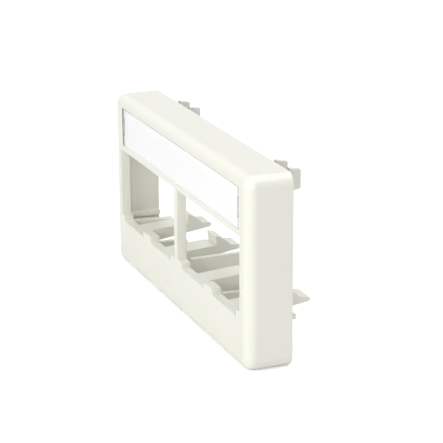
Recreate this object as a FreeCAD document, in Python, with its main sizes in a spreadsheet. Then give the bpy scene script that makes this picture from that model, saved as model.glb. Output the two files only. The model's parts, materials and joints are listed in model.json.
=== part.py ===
import FreeCAD, Part
import math
import os
import re
import Sketcher

# Keystone faceplate: one moulded frame with four module positions, a paper
# label and the clear strip that covers it.
#
# Frame: millimetres, real size, +X to the viewer's right, +Z up. The front
# looks along -Y. The origin is the centre of the rear rim, on the plane that
# seats against the panel. Sketches count their depth from the front plane,
# and each sub-part is then set back by the depth of the plate.

doc = FreeCAD.newDocument("keystone_faceplate")


# Sizes

sizes = doc.addObject("Spreadsheet::Sheet", "Sizes")

driving_sizes = [
    # Outer shell
    ("plate_width", 73.0, "overall width of the plate"),
    ("plate_height", 37.5, "overall height of the plate"),
    ("plate_depth", 9.2, "front plane to rear rim"),
    ("corner_radius", 2.3, "corner radius seen from the front"),
    ("front_round", 2.1, "rounding of the front edge"),
    ("skirt_wall", 1.65, "wall of the skirt round the plate"),
    ("face_thickness", 2.0, "thickness of the front face"),
    ("hollow_radius", 0.6, "inside corner radius of the skirt"),
    # Front, from the top downwards
    ("top_rail", 2.6, "top of the plate to the label pocket"),
    ("label_height", 8.1, "height of the label pocket"),
    ("middle_rail", 1.05, "bar between the label pocket and the openings"),
    ("lower_rail", 11.15, "bottom of the plate to the top of its raised blocks"),
    ("label_stile", 4.1, "end of the plate to the end of the label pocket"),
    ("opening_stile", 3.5, "end of the plate to the side of an opening"),
    # Module openings
    ("mullion_width", 1.8, "upright bar between the two openings"),
    ("port_pitch", 16.3, "between two ports that share an opening"),
    ("port_pair_shift", 34.4, "from one opening's port to the same port in the other"),
    ("port_recess_width", 11.9, "width of the notch under a port"),
    ("port_recess_drop", 1.25, "depth of the notch below the blocks"),
    ("tick_width", 0.75, "width of the relief at the end of a notch"),
    ("tick_drop", 0.28, "depth of the relief at the end of a notch"),
    # Latch arms
    ("arm_width", 4.9, "width of a latch arm, which stands at its port's centre"),
    ("arm_root_height", 2.71, "height of a latch arm at the plate"),
    ("arm_underside_rise", 1.98, "how far the underside rises towards the tip"),
    ("arm_top_rise", 0.61, "how far the top rises towards the tooth"),
    ("arm_foot_dip", 0.2, "fall of the top from there to the foot of the tooth"),
    ("arm_tooth_depth", 11.56, "front plane to the foot of the tooth"),
    ("arm_tooth_undercut", 0.3, "how far the tooth leans over its foot"),
    ("arm_tooth_height", 2.53, "height of the tooth over the arm's root"),
    ("arm_tooth_drop", 0.95, "fall of the round back of the tooth"),
    ("arm_tooth_length", 2.15, "length of the round back of the tooth"),
    ("arm_tooth_radius", 3.6, "radius of the round back of the tooth"),
    ("arm_ramp_length", 1.35, "length of the slope behind the tooth"),
    ("arm_straight_reach", 16.4, "front plane to where the tip rounds off"),
    ("arm_tongue_thickness", 1.0, "thickness of the arm behind the tooth"),
    ("arm_tip_radius", 0.52, "rounding of the tip"),
    # Guide ledges and end rails at the side walls
    ("ledge_width", 1.12, "how far the guide ledge stands off the side wall"),
    ("ledge_drop", 0.3, "top of the blocks to the top of the ledge"),
    ("ledge_height", 1.05, "height of the guide ledge"),
    ("ledge_set_in", 0.2, "rear end of the ledge to the rear rim"),
    ("rail_inset", 5.3, "end of the plate to the inner side of the end rail"),
    ("rail_width", 2.0, "thickness of the end rail"),
    ("rail_drop", 1.4, "top of the blocks to the end rail, at the plate"),
    ("rail_fall", 0.5, "fall of the end rail towards the rear"),
    ("rail_height", 1.04, "height of the end rail at its rear end"),
    ("rail_overrun", 2.15, "how far the end rail passes the rear rim"),
    # Divider walls behind the lower rail
    ("divider_wall", 1.15, "thickness of a divider wall"),
    ("divider_drop", 1.91, "top of the blocks to the top of a side wall"),
    ("divider_level_depth", 5.39, "front plane to where a side wall starts to fall"),
    ("divider_fall", 0.42, "fall of a side wall towards the rear"),
    ("divider_notch_drop", 2.71, "top of the blocks to the floor of the front notch"),
    ("divider_notch_depth", 2.99, "front plane to the end of that notch"),
    ("divider_set_in", 0.26, "rear end of a wall to the rear rim"),
    ("centre_drop", 0.3, "top of the blocks to the top of the centre wall"),
    ("centre_tongue_height", 8.7, "height of the tongue behind the rim"),
    ("centre_overrun", 4.8, "how far the tongue passes the rear rim"),
    # Panel hooks
    ("hook_thickness", 1.2, "thickness of a panel hook"),
    ("hook_spacing", 5.9, "between the two hooks of a pair"),
    ("hook_pair_shift", 50.9, "from the left pair to the right pair"),
    ("hook_tip_drop", 1.23, "top of the plate to the hook's catch"),
    ("hook_lead", 0.4, "slope on the catch that leads it into the panel"),
    ("hook_neck_drop", 2.33, "top of the plate to the neck that crosses the panel"),
    ("hook_foot_drop", 5.59, "top of the plate to the hook's free edge"),
    ("panel_room", 2.46, "rear rim to the catch"),
    ("hook_overrun", 4.81, "how far a hook passes the rear rim"),
    ("hook_foot_chamfer", 0.33, "rise of the chamfer at the free edge"),
    ("hook_foot_run", 1.36, "length of that chamfer"),
    # Label pocket, card and cover
    ("lip_round", 0.4, "rounding of the front edge of the label pocket"),
    ("lip_flat", 0.08, "least flat left between two rounded edges"),
    ("cover_set_back", 0.15, "front plane to the face of the cover"),
    ("cover_thickness", 0.8, "thickness of the clear cover"),
    ("cover_gap", 0.1, "gap round the cover in its pocket"),
    ("cover_pry_gap", 0.35, "gap at the left end for lifting the cover"),
    ("cover_bevel", 0.1, "bevel round the face of the cover"),
    ("card_thickness", 0.2, "thickness of the label card"),
    ("card_end_gap", 0.15, "gap between the end of the card and a lug"),
    ("card_margin", 0.1, "gap over and under the card"),
    ("pocket_floor", 1.35, "thickness of the floor behind the card"),
    ("lug_inset", 1.05, "end of the label pocket to the inner side of a cover lug"),
    ("lug_width", 0.6, "thickness of a cover lug"),
    ("lug_height", 4.0, "height of a cover lug"),
    ("lug_gap", 0.08, "gap round a lug in its slot"),
    ("lug_overrun", 0.4, "how far a lug stands out behind the floor"),
]

for row, (alias, value, meaning) in enumerate(driving_sizes, start=1):
    sizes.set(f"A{row}", alias)
    sizes.set(f"B{row}", str(value))
    sizes.set(f"C{row}", meaning)
    sizes.setAlias(f"B{row}", alias)

derived_sizes = [
    ("half_width", "=plate_width / 2"),
    ("half_height", "=plate_height / 2"),
    ("inner_half_width", "=half_width - skirt_wall"),
    ("inner_half_height", "=half_height - skirt_wall"),
    ("label_reach", "=half_width - label_stile"),
    ("label_top", "=half_height - top_rail"),
    ("label_bottom", "=label_top - label_height"),
    ("label_middle", "=(label_bottom + label_top) / 2"),
    ("pocket_lip", "=min(lip_round; top_rail - front_round - lip_flat)"),
    ("opening_reach", "=half_width - opening_stile"),
    ("opening_top", "=label_bottom - middle_rail"),
    ("opening_sill", "=lower_rail - half_height"),
    ("port_inner", "=port_pair_shift / 2 - port_pitch / 2"),
    ("port_outer", "=port_pair_shift / 2 + port_pitch / 2"),
    ("recess_floor", "=opening_sill - port_recess_drop"),
    ("arm_underside", "=recess_floor - arm_root_height"),
    ("arm_first_side", "=-port_outer - arm_width / 2"),
    ("arm_foot_height", "=recess_floor + arm_top_rise - arm_foot_dip"),
    ("tooth_tip_height", "=recess_floor + arm_tooth_height"),
    ("tooth_tip_depth", "=arm_tooth_depth - arm_tooth_undercut"),
    ("tooth_back_height", "=tooth_tip_height - arm_tooth_drop"),
    ("tooth_back_depth", "=tooth_tip_depth + arm_tooth_length"),
    ("ledge_top", "=opening_sill - ledge_drop"),
    ("ledge_reach", "=plate_depth - ledge_set_in"),
    ("rail_top", "=opening_sill - rail_drop"),
    ("rail_rear_top", "=rail_top - rail_fall"),
    ("rail_reach", "=plate_depth + rail_overrun"),
    ("divider_first", "=-(port_pair_shift + divider_wall) / 2"),
    ("divider_top", "=opening_sill - divider_drop"),
    ("divider_notch_floor", "=opening_sill - divider_notch_drop"),
    ("divider_reach", "=plate_depth - divider_set_in"),
    ("centre_top", "=opening_sill - centre_drop"),
    ("centre_reach", "=plate_depth + centre_overrun"),
    ("hook_first", "=-(hook_pair_shift + hook_spacing + hook_thickness) / 2"),
    ("hook_tip", "=half_height - hook_tip_drop"),
    ("hook_neck", "=half_height - hook_neck_drop"),
    ("hook_foot", "=half_height - hook_foot_drop"),
    ("hook_catch_depth", "=plate_depth + panel_room"),
    ("hook_reach", "=plate_depth + hook_overrun"),
    ("card_back", "=cover_set_back + cover_thickness + card_thickness"),
    ("pocket_back", "=card_back + pocket_floor"),
    ("lug_inner", "=label_reach - lug_inset"),
    ("card_reach", "=lug_inner - card_end_gap"),
]

first_derived_row = len(driving_sizes) + 2
for row, (alias, formula) in enumerate(derived_sizes, start=first_derived_row):
    sizes.set(f"A{row}", alias)
    sizes.set(f"B{row}", formula)
    sizes.setAlias(f"B{row}", alias)

doc.recompute()


# Helpers

def origin_plane(body, role):
    """Return the body's own origin plane or axis with this role."""
    for feature in body.Origin.OriginFeatures:
        if feature.Role == role:
            return feature
    raise RuntimeError(f"no origin feature {role}")


def size(expression):
    """Return the present value of an expression over the named sizes."""
    return float(sizes.evalExpression(expression))


def from_sheet(expression):
    """Return the expression with each named size read from the sheet."""
    return re.sub(r"[a-z][a-z_]*", r"Sizes.\g<0>", expression)


def bind(item, prop, expression):
    """Bind one property to an expression over the named sizes."""
    item.setExpression(prop, from_sheet(expression))


def arc_through(start, end, radius, side):
    """Return the arc from start to end that bulges to the given side."""
    chord = end - start
    half = chord.Length / 2
    rise = radius - math.sqrt(radius ** 2 - half ** 2)
    across = FreeCAD.Vector(-chord.y, chord.x, 0).normalize()
    middle = start + chord / 2 + across * rise * side
    return Part.Arc(start, middle, end)


def new_sketch(body, name, role, offset):
    """Add a sketch on an origin plane, moved along its normal by offset."""
    sketch = body.newObject("Sketcher::SketchObject", name)
    sketch.AttachmentSupport = [(origin_plane(body, role), "")]
    sketch.MapMode = "FlatFace"
    bind(sketch, "AttachmentOffset.Base.z", offset)
    return sketch


def add_loop(sketch, corners, arcs=None):
    """Draw one closed outline whose corners follow the named sizes.

    Each corner is a pair of expressions. arcs gives, for the number of the
    corner that an arc starts from, its radius and the side it bulges to.
    """
    arcs = arcs or {}
    points = [FreeCAD.Vector(size(across), size(up), 0) for across, up in corners]
    count = len(points)
    starts = []
    ends = []
    for number, start in enumerate(points):
        end = points[(number + 1) % count]
        if number in arcs:
            radius, side = arcs[number]
            curve = arc_through(start, end, size(radius), side)
            index = sketch.addGeometry(curve, False)
            begins_here = sketch.getPoint(index, 1).isEqual(start, 1e-6)
            starts.append((index, 1 if begins_here else 2))
            ends.append((index, 2 if begins_here else 1))
            rule = sketch.addConstraint(Sketcher.Constraint("Radius", index, size(radius)))
            bind(sketch, f"Constraints[{rule}]", radius)
        else:
            index = sketch.addGeometry(Part.LineSegment(start, end), False)
            starts.append((index, 1))
            ends.append((index, 2))
    for number in range(count):
        following = starts[(number + 1) % count]
        sketch.addConstraint(Sketcher.Constraint("Coincident", *ends[number], *following))
    for number, (across, up) in enumerate(corners):
        index, end = starts[number]
        for kind, expression in (("DistanceX", across), ("DistanceY", up)):
            value = size(expression)
            rule = sketch.addConstraint(Sketcher.Constraint(kind, -1, 1, index, end, value))
            bind(sketch, f"Constraints[{rule}]", expression)


def box_loop(left, bottom, right, top):
    """Return the four corners of an upright rectangle."""
    return [(left, bottom), (right, bottom), (right, top), (left, top)]


def pad(body, sketch, length, backwards=False, both_ways=False):
    """Raise a solid from a sketch and return it."""
    feature = body.newObject("PartDesign::Pad", f"{sketch.Name}_pad")
    feature.Profile = sketch
    bind(feature, "Length", length)
    feature.Reversed = backwards
    feature.Midplane = both_ways
    sketch.Visibility = False
    return feature


def pocket(body, sketch, length):
    """Cut a sketch away, from its plane towards the rear of the plate."""
    feature = body.newObject("PartDesign::Pocket", f"{sketch.Name}_pocket")
    feature.Profile = sketch
    bind(feature, "Length", length)
    sketch.Visibility = False
    return feature


def mirror_left_right(body, feature):
    """Repeat a feature on the other side of the centre line."""
    mirrored = body.newObject("PartDesign::Mirrored", f"{feature.Name}_mirrored")
    mirrored.Originals = [feature]
    mirrored.MirrorPlane = (origin_plane(body, "YZ_Plane"), [""])
    body.Tip = mirrored
    doc.recompute()
    return mirrored


def repeat_along_x(body, feature, steps):
    """Repeat a feature along +X, once for each named step."""
    repeats = body.newObject("PartDesign::MultiTransform", f"{feature.Name}_repeats")
    repeats.Originals = [feature]
    patterns = []
    for step in steps:
        pattern = body.newObject("PartDesign::LinearPattern", f"{feature.Name}_{step}")
        pattern.Direction = (origin_plane(body, "X_Axis"), [""])
        bind(pattern, "Length", step)
        pattern.Occurrences = 2
        patterns.append(pattern)
    repeats.Transformations = patterns
    body.Tip = repeats
    doc.recompute()
    return repeats


def edges_where(feature, test):
    """Return the names of the feature's edges whose middle passes the test."""
    found = []
    for number, edge in enumerate(feature.Shape.Edges, start=1):
        middle = edge.valueAt((edge.FirstParameter + edge.LastParameter) / 2)
        if test(edge, middle):
            found.append(f"Edge{number}")
    return found


def round_edges(body, feature, name, radius, test):
    """Fillet the feature's edges that pass the test."""
    fillet = body.newObject("PartDesign::Fillet", name)
    fillet.Base = (feature, edges_where(feature, test))
    bind(fillet, "Radius", radius)
    body.Tip = fillet
    doc.recompute()
    return fillet


def chamfer_edges(body, feature, name, length, test):
    """Chamfer the feature's edges that pass the test."""
    chamfer = body.newObject("PartDesign::Chamfer", name)
    chamfer.Base = (feature, edges_where(feature, test))
    bind(chamfer, "Size", length)
    body.Tip = chamfer
    doc.recompute()
    return chamfer


def near(first, second):
    """Tell whether two lengths are the same to a hundredth."""
    return abs(first - second) < 0.01


def runs_in_depth(edge):
    """Tell whether an edge runs straight along the depth of the plate."""
    direction = edge.Vertexes[-1].Point - edge.Vertexes[0].Point
    return near(direction.x, 0) and near(direction.z, 0)


# Faceplate frame: skirt and face

frame = doc.addObject("PartDesign::Body", "FaceplateFrame")
frame.Label = "faceplate_frame"

outer_sketch = new_sketch(frame, "outer_shell", "XZ_Plane", "0")
add_loop(outer_sketch, box_loop("-half_width", "-half_height", "half_width", "half_height"))
outer_shell = pad(frame, outer_sketch, "plate_depth", backwards=True)
doc.recompute()

cornered_shell = round_edges(
    frame, outer_shell, "outer_corners", "corner_radius",
    lambda edge, middle: runs_in_depth(edge))

rounded_shell = round_edges(
    frame, cornered_shell, "front_edge", "front_round",
    lambda edge, middle: near(middle.y, 0))

hollow_sketch = new_sketch(frame, "rear_hollow", "XZ_Plane", "-face_thickness")
add_loop(hollow_sketch, box_loop(
    "-inner_half_width", "-inner_half_height", "inner_half_width", "inner_half_height"))
rear_hollow = pocket(frame, hollow_sketch, "plate_depth")
doc.recompute()

hollow_shell = round_edges(
    frame, rear_hollow, "hollow_corners", "hollow_radius",
    lambda edge, middle: runs_in_depth(edge)
    and abs(middle.x) < size("half_width") - size("skirt_wall") + 0.01
    and middle.y > size("face_thickness"))


# Faceplate frame: label pocket with its floor and lug slots

tray_sketch = new_sketch(frame, "label_tray", "XZ_Plane", "-face_thickness")
add_loop(tray_sketch, box_loop(
    "-inner_half_width", "opening_top", "inner_half_width", "inner_half_height"))
label_tray = pad(frame, tray_sketch, "pocket_back - face_thickness", backwards=True)

pocket_sketch = new_sketch(frame, "label_pocket", "XZ_Plane", "0")
add_loop(pocket_sketch, box_loop("-label_reach", "label_bottom", "label_reach", "label_top"))
label_pocket = pocket(frame, pocket_sketch, "card_back")
doc.recompute()

slot_sketch = new_sketch(frame, "lug_slots", "XZ_Plane", "0")
for inner, outer in (
        ("-lug_inner + lug_gap", "-lug_inner - lug_width - lug_gap"),
        ("lug_inner - lug_gap", "lug_inner + lug_width + lug_gap")):
    add_loop(slot_sketch, box_loop(
        inner, "label_middle - lug_height / 2 - lug_gap",
        outer, "label_middle + lug_height / 2 + lug_gap"))
lug_slots = pocket(frame, slot_sketch, "plate_depth")
doc.recompute()


# Faceplate frame: module openings, with a notch under each port

opening_sketch = new_sketch(frame, "module_opening", "XZ_Plane", "0")
add_loop(opening_sketch, [
    ("mullion_width / 2", "opening_top"),
    ("mullion_width / 2", "opening_sill"),
    ("port_inner - port_recess_width / 2", "opening_sill"),
    ("port_inner - port_recess_width / 2", "recess_floor"),
    ("port_inner + port_recess_width / 2", "recess_floor"),
    ("port_inner + port_recess_width / 2", "opening_sill"),
    ("port_outer - port_recess_width / 2", "opening_sill"),
    ("port_outer - port_recess_width / 2", "recess_floor"),
    ("port_outer + port_recess_width / 2", "recess_floor"),
    ("port_outer + port_recess_width / 2", "opening_sill"),
    ("opening_reach", "opening_sill"),
    ("opening_reach", "opening_top"),
])
module_opening = pocket(frame, opening_sketch, "face_thickness")
mirror_left_right(frame, module_opening)

tick_sketch = new_sketch(frame, "notch_relief", "XZ_Plane", "0")
add_loop(tick_sketch, box_loop(
    "port_recess_width / 2 - port_outer - tick_width", "recess_floor - tick_drop",
    "port_recess_width / 2 - port_outer", "recess_floor"))
notch_relief = pocket(frame, tick_sketch, "face_thickness")
opened_frame = repeat_along_x(frame, notch_relief, ["port_pitch", "port_pair_shift"])


def on_pocket_mouth(edge, middle):
    """Tell whether an edge is on the front edge of the label pocket."""
    across = near(middle.z, size("label_bottom")) or near(middle.z, size("label_top"))
    upright = near(abs(middle.x), size("label_reach")) and middle.z > size("label_bottom")
    return near(middle.y, 0) and (across or upright)


lipped_frame = round_edges(
    frame, opened_frame, "label_lip", "pocket_lip", on_pocket_mouth)


# Faceplate frame: latch arms, the same way round at all four ports

arm_sketch = new_sketch(frame, "latch_arm", "YZ_Plane", "arm_first_side")
add_loop(arm_sketch, [
    ("face_thickness", "arm_underside"),
    ("arm_straight_reach", "arm_underside + arm_underside_rise"),
    ("arm_straight_reach", "arm_underside + arm_underside_rise + arm_tongue_thickness"),
    ("tooth_back_depth + arm_ramp_length", "arm_foot_height"),
    ("tooth_back_depth", "tooth_back_height"),
    ("tooth_tip_depth", "tooth_tip_height"),
    ("arm_tooth_depth", "arm_foot_height"),
    ("arm_tooth_depth - arm_tongue_thickness", "recess_floor + arm_top_rise"),
    ("face_thickness", "recess_floor"),
], arcs={1: ("arm_tip_radius", -1), 4: ("arm_tooth_radius", -1)})
latch_arm = pad(frame, arm_sketch, "arm_width")
repeat_along_x(frame, latch_arm, ["port_pitch", "port_pair_shift"])


# Faceplate frame: guide ledges and end rails at the two side walls

ledge_sketch = new_sketch(frame, "guide_ledge", "XZ_Plane", "-face_thickness")
add_loop(ledge_sketch, box_loop(
    "inner_half_width - ledge_width", "ledge_top - ledge_height",
    "inner_half_width", "ledge_top"))
guide_ledge = pad(frame, ledge_sketch, "ledge_reach - face_thickness", backwards=True)
mirror_left_right(frame, guide_ledge)

rail_sketch = new_sketch(frame, "end_rail", "YZ_Plane", "half_width - rail_inset")
add_loop(rail_sketch, [
    ("face_thickness", "rail_rear_top - rail_height"),
    ("rail_reach", "rail_rear_top - rail_height"),
    ("rail_reach", "rail_rear_top"),
    ("face_thickness", "rail_top"),
])
end_rail = pad(frame, rail_sketch, "rail_width")
mirror_left_right(frame, end_rail)


# Faceplate frame: divider walls behind the blocks, notched next to the plate

centre_sketch = new_sketch(frame, "centre_divider", "YZ_Plane", "0")
add_loop(centre_sketch, [
    ("face_thickness", "-inner_half_height"),
    ("divider_reach", "-inner_half_height"),
    ("divider_reach", "centre_top - centre_tongue_height"),
    ("centre_reach", "centre_top - centre_tongue_height"),
    ("centre_reach", "centre_top"),
    ("divider_notch_depth", "centre_top"),
    ("divider_notch_depth", "divider_notch_floor"),
    ("face_thickness", "divider_notch_floor"),
])
centre_divider = pad(frame, centre_sketch, "divider_wall", both_ways=True)

side_sketch = new_sketch(frame, "side_divider", "YZ_Plane", "divider_first")
add_loop(side_sketch, [
    ("face_thickness", "-inner_half_height"),
    ("divider_reach", "-inner_half_height"),
    ("divider_reach", "divider_top - divider_fall"),
    ("divider_level_depth", "divider_top"),
    ("divider_notch_depth", "divider_top"),
    ("divider_notch_depth", "divider_notch_floor"),
    ("face_thickness", "divider_notch_floor"),
])
side_divider = pad(frame, side_sketch, "divider_wall")
repeat_along_x(frame, side_divider, ["port_pair_shift"])


# Faceplate frame: panel hooks, two pairs above and one below

upper_sketch = new_sketch(frame, "upper_hook", "YZ_Plane", "hook_first")
add_loop(upper_sketch, [
    ("pocket_back", "inner_half_height"),
    ("pocket_back", "hook_foot"),
    ("hook_reach - hook_foot_run", "hook_foot"),
    ("hook_reach", "hook_foot + hook_foot_chamfer"),
    ("hook_reach", "hook_tip - hook_lead"),
    ("hook_catch_depth", "hook_tip"),
    ("hook_catch_depth", "hook_neck"),
    ("plate_depth - hook_foot_chamfer", "hook_neck"),
    ("plate_depth - hook_foot_chamfer", "inner_half_height"),
])
upper_hook = pad(frame, upper_sketch, "hook_thickness")
repeat_along_x(frame, upper_hook, ["hook_spacing", "hook_pair_shift"])

lower_sketch = new_sketch(frame, "lower_hook", "YZ_Plane", "divider_first")
add_loop(lower_sketch, [
    ("divider_notch_depth", "-inner_half_height"),
    ("divider_notch_depth", "-hook_foot"),
    ("hook_reach - hook_foot_run", "-hook_foot"),
    ("hook_reach", "-hook_foot - hook_foot_chamfer"),
    ("hook_reach", "hook_lead - hook_tip"),
    ("hook_catch_depth", "-hook_tip"),
    ("hook_catch_depth", "-hook_neck"),
    ("plate_depth - hook_foot_chamfer", "-hook_neck"),
    ("plate_depth - hook_foot_chamfer", "-inner_half_height"),
])
lower_hook = pad(frame, lower_sketch, "divider_wall")
repeat_along_x(frame, lower_hook, ["port_pair_shift"])


# Label card: lies on the floor of the pocket, behind the cover

card = doc.addObject("PartDesign::Body", "LabelCard")
card.Label = "label_card"

card_sketch = new_sketch(card, "card_outline", "XZ_Plane", "-card_back")
add_loop(card_sketch, box_loop(
    "-card_reach", "label_bottom + card_margin",
    "card_reach", "label_top - card_margin"))
pad(card, card_sketch, "card_thickness")
doc.recompute()


# Label cover: clear strip with a lug at each end

cover = doc.addObject("PartDesign::Body", "LabelCover")
cover.Label = "label_cover"

cover_sketch = new_sketch(cover, "cover_outline", "XZ_Plane", "-cover_set_back")
add_loop(cover_sketch, box_loop(
    "cover_pry_gap - label_reach", "label_bottom + cover_gap",
    "label_reach - cover_gap", "label_top - cover_gap"))
cover_plate = pad(cover, cover_sketch, "cover_thickness", backwards=True)
doc.recompute()

bevelled_cover = chamfer_edges(
    cover, cover_plate, "cover_bevel_edge", "cover_bevel",
    lambda edge, middle: near(middle.y, size("cover_set_back")))

lug_sketch = new_sketch(cover, "cover_lugs", "XZ_Plane", "-cover_set_back - cover_thickness")
for inner, outer in (
        ("-lug_inner", "-lug_inner - lug_width"),
        ("lug_inner", "lug_inner + lug_width")):
    add_loop(lug_sketch, box_loop(
        inner, "label_middle - lug_height / 2",
        outer, "label_middle + lug_height / 2"))
pad(cover, lug_sketch, "card_thickness + pocket_floor + lug_overrun", backwards=True)


# Set every sub-part back so that the rear rim lies on the origin plane

for body in (frame, card, cover):
    bind(body, "Placement.Base.y", "-plate_depth")

doc.recompute()


# Check and write

for item in doc.Objects:
    if "Invalid" in item.State or "Error" in item.State:
        raise RuntimeError(f"{item.Label} is not valid: {item.State}")

os.makedirs("parts", exist_ok=True)
for body in (frame, card, cover):
    shape = body.Shape
    if shape.isNull() or not shape.isValid() or len(shape.Solids) != 1:
        raise RuntimeError(f"{body.Label} is not one valid solid")
    box = shape.BoundBox
    print(f"{body.Label}: {shape.Volume:.1f} mm3, "
          f"x {box.XMin:.2f} to {box.XMax:.2f}, y {box.YMin:.2f} to {box.YMax:.2f}, "
          f"z {box.ZMin:.2f} to {box.ZMax:.2f}")
    shape.exportStep(f"parts/{body.Label}.step")
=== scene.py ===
"""Keystone faceplate: its finishes, its softened moulded edges, studio and camera.

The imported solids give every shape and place. This script softens the sharp
edges of the moulding as a mould tool leaves them, seats the clear strip in its
pocket, gives each piece its finish and sets up the pale studio and the camera
of the photograph.
"""

import json
import logging
import math
from dataclasses import dataclass
from enum import Enum

import bmesh
import bpy
from mathutils import Euler, Matrix, Vector

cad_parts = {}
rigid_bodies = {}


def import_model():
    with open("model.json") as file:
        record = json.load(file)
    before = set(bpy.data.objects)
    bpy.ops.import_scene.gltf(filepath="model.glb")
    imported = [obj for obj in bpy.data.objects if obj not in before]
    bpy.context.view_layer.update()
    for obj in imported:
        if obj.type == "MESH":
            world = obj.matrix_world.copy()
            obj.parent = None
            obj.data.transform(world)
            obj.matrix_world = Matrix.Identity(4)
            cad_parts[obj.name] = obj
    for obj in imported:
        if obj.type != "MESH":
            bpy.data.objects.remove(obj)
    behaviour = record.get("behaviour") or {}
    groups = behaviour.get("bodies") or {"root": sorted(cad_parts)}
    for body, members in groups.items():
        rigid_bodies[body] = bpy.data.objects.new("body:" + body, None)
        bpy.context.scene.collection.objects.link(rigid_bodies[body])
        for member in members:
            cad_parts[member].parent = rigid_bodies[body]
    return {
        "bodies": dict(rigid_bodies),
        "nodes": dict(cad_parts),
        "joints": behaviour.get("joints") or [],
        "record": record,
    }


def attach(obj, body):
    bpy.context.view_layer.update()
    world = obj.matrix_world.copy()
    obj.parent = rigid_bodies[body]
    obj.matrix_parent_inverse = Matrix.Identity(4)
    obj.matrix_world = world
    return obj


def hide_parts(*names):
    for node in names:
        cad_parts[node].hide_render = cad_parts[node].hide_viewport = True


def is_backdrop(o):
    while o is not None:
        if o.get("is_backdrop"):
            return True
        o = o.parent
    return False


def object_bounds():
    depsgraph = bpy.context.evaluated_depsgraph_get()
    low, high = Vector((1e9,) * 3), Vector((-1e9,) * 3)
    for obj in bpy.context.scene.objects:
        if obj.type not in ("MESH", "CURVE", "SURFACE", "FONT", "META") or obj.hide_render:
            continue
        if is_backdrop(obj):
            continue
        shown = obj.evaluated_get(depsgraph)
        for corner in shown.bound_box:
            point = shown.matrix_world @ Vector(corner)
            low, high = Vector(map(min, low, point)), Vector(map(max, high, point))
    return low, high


# One millimetre in metres, which all lengths without _mm in their name are in.
MM = 0.001

# The sRGB curve: a straight line up to the knee, and a power above it.
BYTE_TOP = 255
SRGB_KNEE = 0.04045
SRGB_SLOPE = 12.92
SRGB_OFFSET = 0.055
SRGB_POWER = 2.4

PURE_WHITE = "ffffff"
POLYCARBONATE_IOR = 1.58
RIGHT_ANGLE = 90.0

log = logging.getLogger("keystone_faceplate")


class Body(Enum):
    """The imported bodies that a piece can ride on."""

    PLATE = "plate"
    COVER = "cover"


class Slot(Enum):
    """The record's material slots of the pieces made here. A piece keeps its slot as a
    field, and nothing here assigns it.
    """

    MOULDED_ABS = "moulded_abs"
    CLEAR_COVER = "clear_cover"


class RoughAndShadedSide(Enum):
    """The clear strip's rough upper edge and its end with painted shade, by their finish's
    place among its materials.

    The clear finish of all the other sides is the first there, number 0.
    """

    # The end carries painted shade: dark grey for the shade in the narrow gap at the
    # strip's left end.
    SHADED_END = 1
    UPPER_EDGE = 2


def linear(hex_colour: str) -> tuple[float, float, float, float]:
    """Turn an sRGB hex colour into the linear colour that a socket takes.

    Args:
        hex_colour: Six hex digits, such as "f2f2e8".

    Returns:
        Linear red, green, blue and an alpha of one.
    """
    channels = []
    for byte in bytes.fromhex(hex_colour):
        value = byte / BYTE_TOP
        if value <= SRGB_KNEE:
            channels.append(value / SRGB_SLOPE)
        else:
            channels.append(((value + SRGB_OFFSET) / (1 + SRGB_OFFSET)) ** SRGB_POWER)
    return (*channels, 1.0)


def waves_per_metre(period_mm: float) -> float:
    """Return the noise scale whose pattern repeats about every period_mm."""
    return 1 / (period_mm * MM)


def aim(azimuth: float, elevation: float) -> Matrix:
    """Find the turn of a lamp or camera that looks at the object.

    Args:
        azimuth: Where it stands, in degrees from the front towards +X.
        elevation: How far above the horizontal it stands, in degrees.

    Returns:
        The turn as a 4 by 4 matrix.
    """
    turn = Euler((math.radians(RIGHT_ANGLE - elevation), 0.0, math.radians(azimuth)))
    return turn.to_matrix().to_4x4()


def open_socket(
    sockets: bpy.types.bpy_prop_collection, key: str | int
) -> bpy.types.NodeSocket:
    """Find a socket by number, or by name among those that are in use.

    Args:
        sockets: A node's inputs or outputs.
        key: The socket's number, or its name, which may have _ for a space.

    Returns:
        The socket.
    """
    if isinstance(key, int):
        return sockets[key]
    name = key.replace("_", " ")
    return next(socket for socket in sockets if socket.name == name and socket.enabled)


def add_node(
    tree: bpy.types.NodeTree,
    kind: str,
    output: str | int = 0,
    settings: dict[str, object] | None = None,
    numbered: dict[int, object] | None = None,
    **named: object,
) -> bpy.types.NodeSocket | None:
    """Add one node with its settings, its values and its links.

    Args:
        tree: The node tree that takes the node.
        kind: The node's type without its prefix, such as "TexNoise".
        output: The output to return, by name or number.
        settings: Properties of the node by name.
        numbered: By input number, a value or the socket that feeds it, for a
            node whose inputs share a name.
        **named: The same by input name.

    Returns:
        The chosen output, or None for a node that has none.
    """
    node = tree.nodes.new(f"ShaderNode{kind}")
    for name, value in (settings or {}).items():
        setattr(node, name, value)
    for key, value in {**(numbered or {}), **named}.items():
        socket = open_socket(node.inputs, key)
        if isinstance(value, bpy.types.NodeSocket):
            tree.links.new(value, socket)
        else:
            socket.default_value = value
    return open_socket(node.outputs, output) if len(node.outputs) else None


def new_material(name: str) -> tuple[bpy.types.Material, bpy.types.NodeTree]:
    """Make a material with an empty node tree.

    Args:
        name: The material's name.

    Returns:
        The material and its node tree.
    """
    material = bpy.data.materials.new(name)
    material.use_nodes = True
    material.node_tree.nodes.clear()
    return material, material.node_tree


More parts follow.
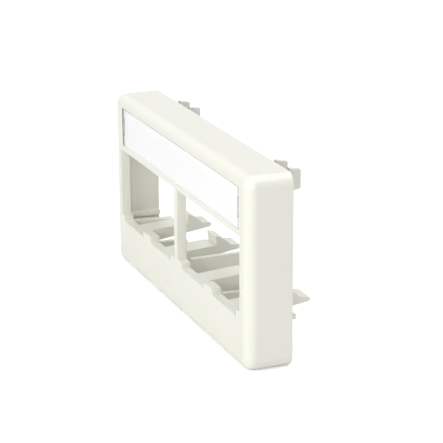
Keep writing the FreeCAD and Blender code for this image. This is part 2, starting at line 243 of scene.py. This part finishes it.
@dataclass(frozen=True)
class MouldedAbs:
    """Injection-moulded off-white ABS with a fine satin texture.

    The eye sees a warm white with soft, wide highlights, a grain that only
    breaks up the gloss, and a faint tone change where the melt flowed.
    """

    name: str = "moulded off-white ABS"
    colour: str = "ebebe1"
    flow_colour: str = "e8e8dd"
    ior: float = 1.54
    roughness: float = 0.26
    roughness_swing: float = 0.02
    # Real spark-eroded grain is about 0.05 mm. It is drawn coarser so that it shows.
    grain_mm: float = 0.3
    grain_detail: float = 2.0
    grain_height_mm: float = 0.0003
    flow_mm: float = 26.0
    flow_detail: float = 3.0
    scatter: float = 0.03
    scatter_reach_mm: float = 1.2
    # Red and green light go further into the warm white than blue light does.
    scatter_shares: tuple[float, float, float] = (1.0, 1.0, 0.8)

    def build(self) -> bpy.types.Material:
        """Build the material and return it."""
        material, tree = new_material(self.name)
        place = add_node(tree, "TexCoord", "Object")
        flow = add_node(
            tree, "TexNoise", "Fac",
            Vector=place, Scale=waves_per_metre(self.flow_mm),
            Detail=self.flow_detail)
        tone = add_node(
            tree, "Mix", "Result", settings={"data_type": "RGBA"},
            Factor=flow, A=linear(self.colour), B=linear(self.flow_colour))
        grain = add_node(
            tree, "TexNoise", "Fac",
            Vector=place, Scale=waves_per_metre(self.grain_mm),
            Detail=self.grain_detail)
        gloss = add_node(
            tree, "MapRange", "Result", Value=grain,
            To_Min=self.roughness - self.roughness_swing,
            To_Max=self.roughness + self.roughness_swing)
        relief = add_node(
            tree, "Bump", "Normal", Height=grain, Distance=self.grain_height_mm * MM)
        shader = add_node(
            tree, "BsdfPrincipled", "BSDF",
            Base_Color=tone, Roughness=gloss, Normal=relief, IOR=self.ior,
            Subsurface_Weight=self.scatter, Subsurface_Radius=self.scatter_shares,
            Subsurface_Scale=self.scatter_reach_mm * MM)
        add_node(tree, "OutputMaterial", Surface=shader)
        return material


@dataclass(frozen=True)
class LabelPaper:
    """Bright white uncoated card.

    The eye sees a flat, even white with no gloss, and a fibre texture that
    shows only close up.
    """

    name: str = "bright white card"
    colour: str = "fbfbfb"
    fibre_colour: str = "f8f8f8"
    ior: float = 1.45
    roughness: float = 0.92
    # Paper fibres are about 0.03 mm wide. They are drawn coarser so that they show.
    fibre_mm: float = 0.2
    fibre_detail: float = 6.0
    fibre_tangle: float = 1.5
    fibre_height_mm: float = 0.006
    specular: float = 0.2

    def build(self) -> bpy.types.Material:
        """Build the material and return it."""
        material, tree = new_material(self.name)
        place = add_node(tree, "TexCoord", "Object")
        fibre = add_node(
            tree, "TexNoise", "Fac",
            Vector=place, Scale=waves_per_metre(self.fibre_mm),
            Detail=self.fibre_detail, Distortion=self.fibre_tangle)
        tone = add_node(
            tree, "Mix", "Result", settings={"data_type": "RGBA"},
            Factor=fibre, A=linear(self.colour), B=linear(self.fibre_colour))
        relief = add_node(
            tree, "Bump", "Normal", Height=fibre, Distance=self.fibre_height_mm * MM)
        shader = add_node(
            tree, "BsdfPrincipled", "BSDF",
            Base_Color=tone, Roughness=self.roughness, Normal=relief, IOR=self.ior,
            Specular_IOR_Level=self.specular)
        add_node(tree, "OutputMaterial", Surface=shader)
        return material


@dataclass(frozen=True)
class ClearStrip:
    """Clear moulded polycarbonate strip.

    The eye sees through it to the card. Its gloss grows towards a low angle,
    and a slight moulded waviness bends the reflections. Lamplight reaches the
    card through it without the bright lines that glass would throw.
    """

    name: str = "clear moulded polycarbonate"
    colour: str = PURE_WHITE
    ior: float = POLYCARBONATE_IOR
    roughness: float = 0.03
    wave_mm: float = 9.0
    wave_detail: float = 1.0
    wave_height_mm: float = 0.006

    def build(self) -> bpy.types.Material:
        """Build the material and return it."""
        material, tree = new_material(self.name)
        place = add_node(tree, "TexCoord", "Object")
        waves = add_node(
            tree, "TexNoise", "Fac",
            Vector=place, Scale=waves_per_metre(self.wave_mm),
            Detail=self.wave_detail)
        relief = add_node(
            tree, "Bump", "Normal", Height=waves, Distance=self.wave_height_mm * MM)
        surface = add_node(
            tree, "BsdfPrincipled", "BSDF",
            Base_Color=linear(self.colour), Roughness=self.roughness,
            Normal=relief, IOR=self.ior, Transmission_Weight=1.0)
        through = add_node(tree, "BsdfTransparent", "BSDF", Color=linear(self.colour))
        rays = add_node(tree, "LightPath").node.outputs
        lighting = add_node(
            tree, "Math", "Value", settings={"operation": "MAXIMUM"},
            numbered={0: rays["Is Shadow Ray"], 1: rays["Is Diffuse Ray"]})
        mixed = add_node(
            tree, "MixShader", "Shader",
            numbered={0: lighting, 1: surface, 2: through})
        add_node(tree, "OutputMaterial", Surface=mixed)
        return material


@dataclass(frozen=True)
class RoughEdgeAndEndShade:
    """A rough narrow side of the clear strip, or painted shade on its end.

    The eye can't see into it, because fine scratches scatter the light there.
    The end is a dull grey line of painted shade, for the shade in the narrow gap at the
    strip's left end, and the upper edge is frosty white.
    """

    name: str
    colour: str
    ior: float = POLYCARBONATE_IOR
    roughness: float = 0.7
    # Real scratches are about 0.03 mm apart. They are drawn coarser so that they show.
    scratch_mm: float = 0.15
    scratch_detail: float = 2.0
    scratch_height_mm: float = 0.004

    def build(self) -> bpy.types.Material:
        """Build the material and return it."""
        material, tree = new_material(self.name)
        place = add_node(tree, "TexCoord", "Object")
        scratches = add_node(
            tree, "TexNoise", "Fac",
            Vector=place, Scale=waves_per_metre(self.scratch_mm),
            Detail=self.scratch_detail)
        relief = add_node(
            tree, "Bump", "Normal",
            Height=scratches, Distance=self.scratch_height_mm * MM)
        shader = add_node(
            tree, "BsdfPrincipled", "BSDF",
            Base_Color=linear(self.colour), Roughness=self.roughness,
            Normal=relief, IOR=self.ior)
        add_node(tree, "OutputMaterial", Surface=shader)
        return material


@dataclass(frozen=True)
class StudioWhite:
    """Seamless white studio paper that still shows the object's shadow.

    The eye sees a white ground. The camera's own rays meet a little added
    light, and more of it far from the object, so that the open floor is white
    and only the shadow is darker.
    """

    name: str = "seamless white paper"
    colour: str = "f2f2f2"
    roughness: float = 0.9
    near_lift: float = 0.42
    far_lift: float = 1.0
    near_mm: float = 80.0
    far_mm: float = 450.0

    def build(self) -> bpy.types.Material:
        """Build the material and return it."""
        material, tree = new_material(self.name)
        place = add_node(tree, "TexCoord", "Object")
        distance = add_node(
            tree, "VectorMath", "Value", settings={"operation": "LENGTH"}, Vector=place)
        lift = add_node(
            tree, "MapRange", "Result", Value=distance,
            From_Min=self.near_mm * MM, From_Max=self.far_mm * MM,
            To_Min=self.near_lift, To_Max=self.far_lift)
        seen = add_node(tree, "LightPath", "Is Camera Ray")
        glow = add_node(
            tree, "Math", "Value", settings={"operation": "MULTIPLY"},
            numbered={0: seen, 1: lift})
        shader = add_node(
            tree, "BsdfPrincipled", "BSDF",
            Base_Color=linear(self.colour), Roughness=self.roughness,
            Emission_Color=linear(PURE_WHITE), Emission_Strength=glow)
        add_node(tree, "OutputMaterial", Surface=shader)
        return material


@dataclass
class LabelCard:
    """The paper card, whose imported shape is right, so it only takes a finish."""

    node: str = "label_card"
    finish: LabelPaper = LabelPaper()

    def dress(self, frame: dict) -> None:
        """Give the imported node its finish.
        """
        card = frame["nodes"][self.node]
        finish = self.finish.build()
        for place in card.material_slots:
            place.material = finish
        log.info("%s: %s", card.name, finish.name)


@dataclass
class RefinedPiece:
    """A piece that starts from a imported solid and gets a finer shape."""

    node: str
    piece: str
    body: Body
    slot: Slot
    finish: MouldedAbs | ClearStrip
    # Points closer than this are one point, and faces that bend less are one face.
    weld: float = 0.002 * MM
    flat_within: float = math.radians(0.6)

    def refine(self, shell: bmesh.types.BMesh, frame: dict) -> None:
        """Change the shell's shape in place.

        Args:
            shell: The closed shell, whose loose triangles are merged.
        """
        raise NotImplementedError

    def make_mesh(self, frame: dict) -> bpy.types.Mesh:
        """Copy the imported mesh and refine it.


        Returns:
            The refined mesh, in the same place.
        """
        shell = bmesh.new()
        shell.from_mesh(frame["nodes"][self.node].data)
        bmesh.ops.remove_doubles(shell, verts=shell.verts, dist=self.weld)
        bmesh.ops.dissolve_limit(
            shell, angle_limit=self.flat_within, verts=shell.verts, edges=shell.edges)
        self.refine(shell, frame)
        mesh = bpy.data.meshes.new(self.piece)
        shell.to_mesh(mesh)
        shell.free()
        mesh.materials.append(self.finish.build())
        return mesh

    def build(self, frame: dict) -> bpy.types.Object:
        """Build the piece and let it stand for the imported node.


        Returns:
            The finished piece.
        """
        piece = bpy.data.objects.new(self.piece, self.make_mesh(frame))
        bpy.context.collection.objects.link(piece)
        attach(piece, self.body.value)
        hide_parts(self.node)
        log.info("%s: %d faces", piece.name, len(piece.data.polygons))
        return piece


@dataclass
class MouldedFrame(RefinedPiece):
    """The one-piece moulded frame, with its sharp edges softened."""

    node: str = "faceplate_frame"
    piece: str = "moulded_frame"
    body: Body = Body.PLATE
    slot: Slot = Slot.MOULDED_ABS
    finish: MouldedAbs = MouldedAbs()
    # Wider rounds run into each other where the moulding's edges are closest.
    edge_radius: float = 0.048 * MM
    edge_segments: int = 2
    # Edges that bend more than this get a round.
    sharp_from: float = math.radians(32)
    # What still bends more than this after the rounds is shaded as a hard edge.
    crease_from: float = math.radians(50)
    # The rounds leave a few edges shorter than this. They are merged.
    sliver: float = 0.008 * MM

    def refine(self, shell: bmesh.types.BMesh, frame: dict) -> None:
        """Round the sharp edges.

        Args:
            shell: The frame's shell.
        """
        sharp = [
            edge for edge in shell.edges
            if edge.is_manifold and edge.calc_face_angle(0.0) > self.sharp_from
        ]
        bmesh.ops.bevel(
            shell, geom=sharp, affect="EDGES", offset=self.edge_radius,
            offset_type="OFFSET", segments=self.edge_segments, profile=0.5,
            material=-1, clamp_overlap=False, loop_slide=True)
        bmesh.ops.dissolve_degenerate(shell, dist=self.sliver, edges=shell.edges)
        for face in shell.faces:
            face.smooth = True
        for edge in shell.edges:
            edge.smooth = edge.calc_face_angle(0.0) < self.crease_from

    def build(self, frame: dict) -> bpy.types.Object:
        """Build the frame, and keep its large faces flat to the light.


        Returns:
            The finished frame.
        """
        piece = super().build(frame)
        weighting = piece.modifiers.new("flat_faces", "WEIGHTED_NORMAL")
        weighting.keep_sharp = True
        return piece


@dataclass
class ClearCover(RefinedPiece):
    """The clear strip, as it sits in the pocket once it is pressed home.

    A film of air parts its back from the card, and its upper edge is up
    against the pocket's wall, so no dark gap shows over it. Its front edges
    are crisp, its upper edge is rough, and its left end is painted shade in dark grey.
    """

    node: str = "label_cover"
    piece: str = "clear_strip"
    body: Body = Body.COVER
    slot: Slot = Slot.CLEAR_COVER
    finish: ClearStrip = ClearStrip()
    # The end's dark grey is painted shade, for the shade in the narrow gap at the strip's
    # left end.
    end_shade: RoughEdgeAndEndShade = RoughEdgeAndEndShade("painted shade on the clear strip's end", "5c5c58")
    edge_finish: RoughEdgeAndEndShade = RoughEdgeAndEndShade("frosted edge of clear polycarbonate", "eef0ee")
    card_node: str = LabelCard.node
    air_film: float = 0.02 * MM
    upward_play: float = 0.08 * MM
    crisp_within: float = 0.15 * MM

    def refine(self, shell: bmesh.types.BMesh, frame: dict) -> None:
        """Seat the strip, make its front edges crisp, and mark its rough upper edge and
        its end with painted shade.

        Args:
            shell: The strip's shell.
        """
        card = frame["nodes"][self.card_node].data
        card_front = min(corner.co.y for corner in card.vertices)
        # Only the tips of the lugs lie further back than the card's front.
        strip = [
            corner for corner in shell.verts if corner.co.y < card_front + self.weld]
        front = min(corner.co.y for corner in strip)
        left, right = (bound(corner.co.x for corner in strip) for bound in (min, max))
        lower, upper = (bound(corner.co.z for corner in strip) for bound in (min, max))
        for corner in strip:
            if corner.co.y < front + self.weld:
                corner.co.x = self.snapped(corner.co.x, left, right)
                corner.co.z = self.snapped(corner.co.z, lower, upper)
            if corner.co.y > card_front - self.weld:
                corner.co.y = card_front - self.air_film
            if corner.co.z > upper - self.weld:
                corner.co.z += self.upward_play
        for side in shell.faces:
            side.smooth = False
            # The left end takes the dark grey of painted shade.
            if all(corner.co.x < left + self.weld for corner in side.verts):
                side.material_index = RoughAndShadedSide.SHADED_END.value
            elif all(corner.co.z > upper - self.weld for corner in side.verts):
                side.material_index = RoughAndShadedSide.UPPER_EDGE.value

    def snapped(self, value: float, *bounds: float) -> float:
        """Return the bound that the value is close to, or else the value."""
        close = [bound for bound in bounds if abs(bound - value) < self.crisp_within]
        return close[0] if close else value

    def make_mesh(self, frame: dict) -> bpy.types.Mesh:
        """Make the strip's mesh with the finishes of its rough upper edge and of its end
        with painted shade.

        Returns:
            The strip's mesh.
        """
        mesh = super().make_mesh(frame)
        mesh.materials.append(self.end_shade.build())
        mesh.materials.append(self.edge_finish.build())
        return mesh


@dataclass(frozen=True)
class Softbox:
    """One rectangular studio lamp, aimed at the object.

    Its distance and size are in metres, its power is in watts, and its angles
    are in degrees, as aim takes them.
    """

    name: str
    azimuth: float
    elevation: float
    distance: float
    size: tuple[float, float]
    power: float

    def build(self, target: Vector) -> None:
        """Hang the lamp and aim it.

        Args:
            target: The point that the lamp looks at.
        """
        data = bpy.data.lights.new(self.name, "AREA")
        data.shape = "RECTANGLE"
        data.size, data.size_y = self.size
        data.energy = self.power
        lamp = bpy.data.objects.new(self.name, data)
        lamp.matrix_world = (
            Matrix.Translation(target)
            @ aim(self.azimuth, self.elevation)
            @ Matrix.Translation((0.0, 0.0, self.distance)))
        bpy.context.collection.objects.link(lamp)


@dataclass
class Studio:
    """Pale floor, white surroundings and soft lamps."""

    floor_name: str = "studio_floor"
    floor_half: float = 3.0
    floor_gap: float = 0.02 * MM
    # The surroundings light the object at the first strength and look like the second.
    ambient: float = 0.06
    white: float = 1.0
    paper: StudioWhite = StudioWhite()
    lamps: tuple[Softbox, ...] = (
        Softbox("top_softbox", azimuth=180, elevation=80, distance=0.8,
                size=(1.0, 1.0), power=6.95),
        Softbox("key_softbox", azimuth=16, elevation=18, distance=0.8,
                size=(0.5, 0.36), power=3.42),
        Softbox("side_softbox", azimuth=70, elevation=20, distance=0.8,
                size=(0.5, 0.5), power=1.68),
    )

    def build_floor(self, level: float) -> None:
        """Lay the floor.

        Args:
            level: The height that the object stands on.
        """
        sheet = bmesh.new()
        bmesh.ops.create_grid(sheet, x_segments=1, y_segments=1, size=self.floor_half)
        bmesh.ops.translate(
            sheet, vec=(0.0, 0.0, level - self.floor_gap), verts=sheet.verts)
        mesh = bpy.data.meshes.new(self.floor_name)
        sheet.to_mesh(mesh)
        sheet.free()
        mesh.materials.append(self.paper.build())
        floor = bpy.data.objects.new(self.floor_name, mesh)
        bpy.context.collection.objects.link(floor)
        floor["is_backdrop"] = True

    def build_surroundings(self) -> None:
        """Make the world white to the camera and soft to the surfaces."""
        world = bpy.data.worlds.new("studio_surroundings")
        world.use_nodes = True
        tree = world.node_tree
        tree.nodes.clear()
        rays = add_node(tree, "LightPath").node.outputs
        direct = add_node(
            tree, "Math", "Value", settings={"operation": "MAXIMUM"},
            numbered={0: rays["Is Camera Ray"], 1: rays["Is Glossy Ray"]})
        seen = add_node(
            tree, "Math", "Value", settings={"operation": "MAXIMUM"},
            numbered={0: direct, 1: rays["Is Transmission Ray"]})
        strength = add_node(
            tree, "MapRange", "Result",
            Value=seen, To_Min=self.ambient, To_Max=self.white)
        background = add_node(
            tree, "Background", "Background",
            Color=linear(PURE_WHITE), Strength=strength)
        add_node(tree, "OutputWorld", Surface=background)
        bpy.context.scene.world = world

    def build(self, lowest: Vector, highest: Vector) -> None:
        """Build the floor, the surroundings and the lamps.

        Args:
            lowest: The object's lowest corner.
            highest: The object's highest corner.
        """
        self.build_floor(lowest.z)
        self.build_surroundings()
        for softbox in self.lamps:
            softbox.build((lowest + highest) / 2)
        log.info("studio: floor, surroundings and %d lamps", len(self.lamps))


@dataclass(frozen=True)
class PhotoCamera:
    """The camera of the photograph, solved from the plate's own corners.

    Its place and its clipping distances are in metres, its angles in degrees,
    and its lens and sensor in millimetres.
    """

    name: str = "photo_camera"
    location: tuple[float, float, float] = (0.3096, -0.1246, 0.1047)
    azimuth: float = 67.968
    elevation: float = 17.555
    roll: float = -0.209
    lens: float = 141.33
    sensor: float = 36.0
    nearest: float = 0.01
    farthest: float = 20.0

    def build(self) -> None:
        """Make the scene's camera."""
        data = bpy.data.cameras.new(self.name)
        data.sensor_fit = "HORIZONTAL"
        data.sensor_width = self.sensor
        data.lens = self.lens
        data.clip_start = self.nearest
        data.clip_end = self.farthest
        camera = bpy.data.objects.new(self.name, data)
        camera.matrix_world = (
            Matrix.Translation(self.location)
            @ aim(self.azimuth, self.elevation)
            @ Matrix.Rotation(math.radians(self.roll), 4, "Z"))
        bpy.context.collection.objects.link(camera)
        bpy.context.scene.camera = camera
        log.info("camera at %s", self.location)


def main() -> None:
    """Build the camera, the pieces and the studio in order."""
    logging.basicConfig(level=logging.INFO, format="%(name)s: %(message)s")
    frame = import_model()
    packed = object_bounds()
    bpy.context.scene.view_settings.view_transform = "Standard"

    PhotoCamera().build()
    MouldedFrame().build(frame)
    LabelCard().dress(frame)
    ClearCover().build(frame)
    Studio().build(*packed)


if __name__ == "__main__":
    main()
